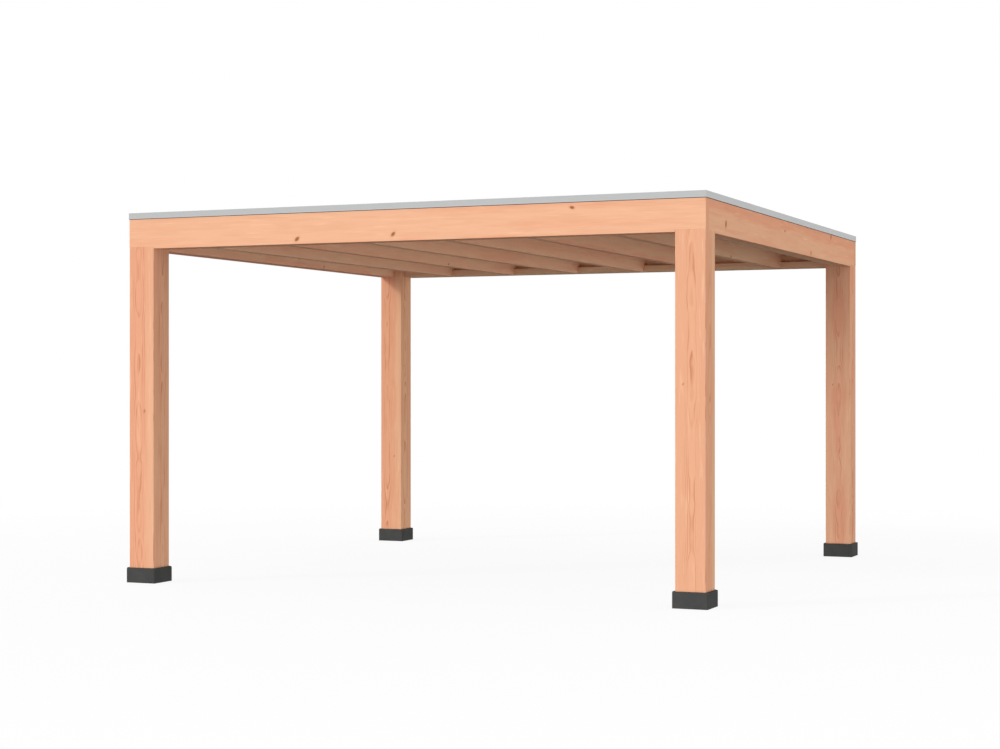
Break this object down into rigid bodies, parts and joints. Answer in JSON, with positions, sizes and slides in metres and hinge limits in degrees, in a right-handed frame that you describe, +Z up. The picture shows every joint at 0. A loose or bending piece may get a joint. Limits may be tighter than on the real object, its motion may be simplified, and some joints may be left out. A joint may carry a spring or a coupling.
{
  "type": "wooden patio cover",
  "caption": "Free-standing flat-roofed timber patio cover, open on every side: square posts on dark feet, a ring of planks, notched joists, a boarded roof and a metal edge trim.",
  "frame": {"origin": "on the ground at the middle of the plan", "axes": "+X to the right along the front, +Y to the back, +Z up"},
  "size_m": [4.03, 4.03, 2.4685],
  "materials": {
    "foot": "dark grey cast concrete, matt",
    "post_timber": "planed softwood, pale salmon, unpainted",
    "beam_timber": "planed softwood, pale salmon, unpainted",
    "joist_timber": "planed softwood, pale salmon, unpainted",
    "roof_boards": "planed softwood boards, unpainted",
    "roof_skin": "matt black rubber sheet",
    "trim": "satin, mill"
  },
  "bodies": {
    "root": {"front_left_foot": "foot", "front_right_foot": "foot", "back_left_foot": "foot", "back_right_foot": "foot", "front_left_post": "post_timber", "front_right_post": "post_timber", "back_left_post": "post_timber", "back_right_post": "post_timber", "front_beam": "beam_timber", "back_beam": "beam_timber", "left_beam": "beam_timber", "right_beam": "beam_timber", "front_ledger": "joist_timber", "back_ledger": "joist_timber", "left_edge_joist": "joist_timber", "right_edge_joist": "joist_timber", "joist_1": "joist_timber", "joist_2": "joist_timber", "joist_3": "joist_timber", "joist_4": "joist_timber", "joist_5": "joist_timber", "joist_6": "joist_timber", "roof_deck": "roof_boards", "roof_membrane": "roof_skin", "front_trim": "trim", "back_trim": "trim", "left_trim": "trim", "right_trim": "trim"}
  },
  "joints": []
}
